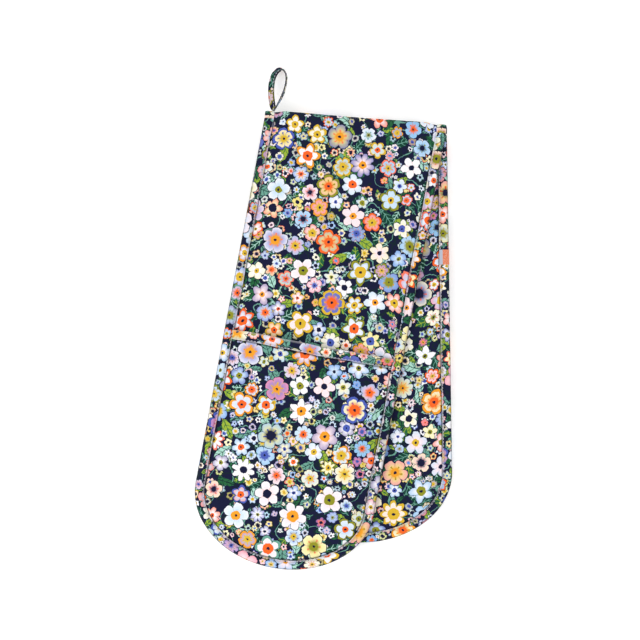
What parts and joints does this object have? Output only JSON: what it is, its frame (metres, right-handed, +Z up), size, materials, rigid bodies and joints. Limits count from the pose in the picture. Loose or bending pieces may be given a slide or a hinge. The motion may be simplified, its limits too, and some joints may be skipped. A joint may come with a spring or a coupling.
{
  "type": "double oven glove",
  "caption": "Padded cloth strip with a hand pocket at each rounded end, bound edges and a hanging loop, folded across its middle and laid flat.",
  "frame": {"origin": "under the middle of the box of the glove as it lies folded, on the surface it lies on", "axes": "+Z up from that surface, +Y along the folded glove towards its fold and hanging loop, +X across it towards the side tag"},
  "size_m": [0.2577, 0.5015, 0.0302],
  "materials": {
    "printed_cotton": "woven cotton, densely printed with small flowers on navy",
    "bias_binding": "folded tape cut from the same printed cotton",
    "wadding": "needled fibre wadding",
    "lining_cotton": "plain unbleached woven cotton",
    "thread": "spun polyester sewing thread, navy",
    "woven_tag": "plain woven tag, orange with a pale grey margin, no lettering"
  },
  "bodies": {
    "rear_pocket": {"rear_pocket_lining": "lining_cotton", "rear_pocket_wadding": "wadding", "rear_pocket_fabric": "printed_cotton", "rear_pocket_mouth_binding": "bias_binding", "rear_pocket_mouth_stitching": "thread"},
    "rear_half": {"rear_back_fabric": "printed_cotton", "rear_wadding": "wadding", "rear_face_fabric": "printed_cotton", "rear_edge_binding": "bias_binding", "rear_edge_stitching": "thread", "side_tag": "woven_tag"},
    "fold_crest": {"fold_back_fabric": "printed_cotton", "fold_wadding": "wadding", "fold_face_fabric": "printed_cotton", "fold_binding_left": "bias_binding", "fold_binding_right": "bias_binding", "hanging_loop_ends": "bias_binding"},
    "hanging_loop": {"hanging_loop": "bias_binding"},
    "front_half": {"front_back_fabric": "printed_cotton", "front_wadding": "wadding", "front_face_fabric": "printed_cotton", "front_edge_binding": "bias_binding", "front_edge_stitching": "thread"},
    "front_pocket": {"front_pocket_lining": "lining_cotton", "front_pocket_wadding": "wadding", "front_pocket_fabric": "printed_cotton", "front_pocket_mouth_binding": "bias_binding", "front_pocket_mouth_stitching": "thread"}
  },
  "joints": [
    {"name": "rear_pocket_mouth", "type": "hinge", "parent": "rear_pocket", "child": "rear_half", "pos_m": [0.0389, -0.21425, 0.00835], "axis": [0.9999, 0.0157, 0], "range_deg": [0, 14]},
    {"name": "centre_fold", "type": "hinge", "parent": "rear_half", "child": "front_half", "pos_m": [0.03184, 0.19302, 0.0151], "axis": [-0.9963, 0.0854, 0], "range_deg": [0, 179], "deforming": ["fold_back_fabric", "fold_wadding", "fold_face_fabric", "fold_binding_left", "fold_binding_right"]},
    {"name": "crest_turn", "type": "hinge", "parent": "rear_half", "child": "fold_crest", "pos_m": [0.03184, 0.19302, 0.0151], "axis": [-0.9963, 0.0854, 0], "range_deg": [0, 89.5]},
    {"name": "loop_swing", "type": "hinge", "parent": "fold_crest", "child": "hanging_loop", "pos_m": [-0.05014, 0.21084, 0.0151], "axis": [0.9963, -0.0854, 0], "range_deg": [-70, 90]},
    {"name": "front_pocket_mouth", "type": "hinge", "parent": "front_half", "child": "front_pocket", "pos_m": [-0.05048, -0.23904, 0.02185], "axis": [0.9826, -0.1857, 0], "range_deg": [0, 14]}
  ],
  "couplings": [
    {"joint": "crest_turn", "follows": "centre_fold", "ratio": 0.5}
  ]
}
